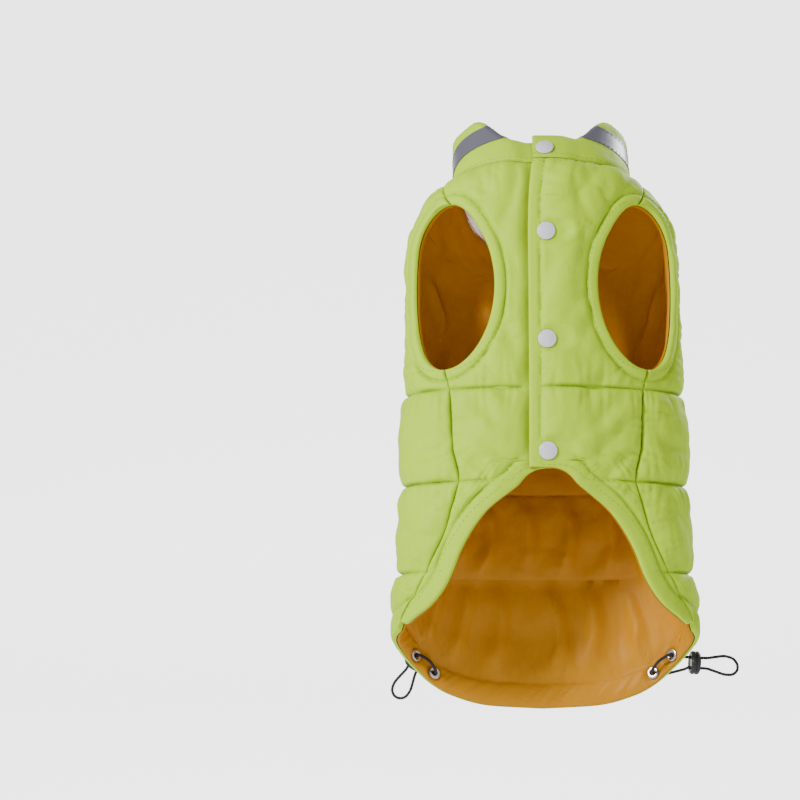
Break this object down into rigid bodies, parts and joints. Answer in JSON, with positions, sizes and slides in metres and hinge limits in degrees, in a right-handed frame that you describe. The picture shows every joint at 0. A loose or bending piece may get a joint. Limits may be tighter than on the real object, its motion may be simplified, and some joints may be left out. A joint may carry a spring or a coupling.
{
  "type": "dog jacket",
  "caption": "Padded dog jacket held filled out: quilted back panel, snapped chest fronts, standing collar, armholes, arched belly and drawcord hem.",
  "frame": {"origin": "on the middle axis of the trunk, level with the back of the neck seam, where the jacket is held by the wearer's neck and shoulders", "axes": "+Z towards the collar, -Y towards the belly side with its snaps, +X to the viewer's right when the belly side is seen"},
  "size_m": [0.2437, 0.1306, 0.4134],
  "materials": {
    "shell_cloth": "bright woven shell cloth, padded, soft sheen",
    "lining_cloth": "smooth amber lining cloth",
    "reflective_strip": "grey reflective tape",
    "label": "black woven label, bare",
    "snap": "pearly white snap cap",
    "eyelet": "pressed metal eyelet",
    "cord_lock": "black moulded plastic",
    "cord": "black round elastic cord"
  },
  "bodies": {
    "root": {"back_panel": "shell_cloth", "front_left_panel": "shell_cloth", "front_right_panel": "shell_cloth", "collar": "shell_cloth", "back_lining": "lining_cloth", "front_left_lining": "lining_cloth", "front_right_lining": "lining_cloth", "collar_lining": "lining_cloth", "collar_strip_outer": "reflective_strip", "collar_strip_inner": "reflective_strip", "label": "label", "snap_cap_1": "snap", "snap_cap_2": "snap", "snap_cap_3": "snap", "snap_cap_4": "snap", "eyelet_left_upper": "eyelet", "eyelet_left_lower": "eyelet", "eyelet_right_upper": "eyelet", "eyelet_right_lower": "eyelet", "cord_lock_left": "cord_lock", "cord_lock_right": "cord_lock", "cord_loop_left": "cord", "cord_loop_right": "cord", "cord_bridge_left": "cord", "cord_bridge_right": "cord"}
  },
  "joints": []
}
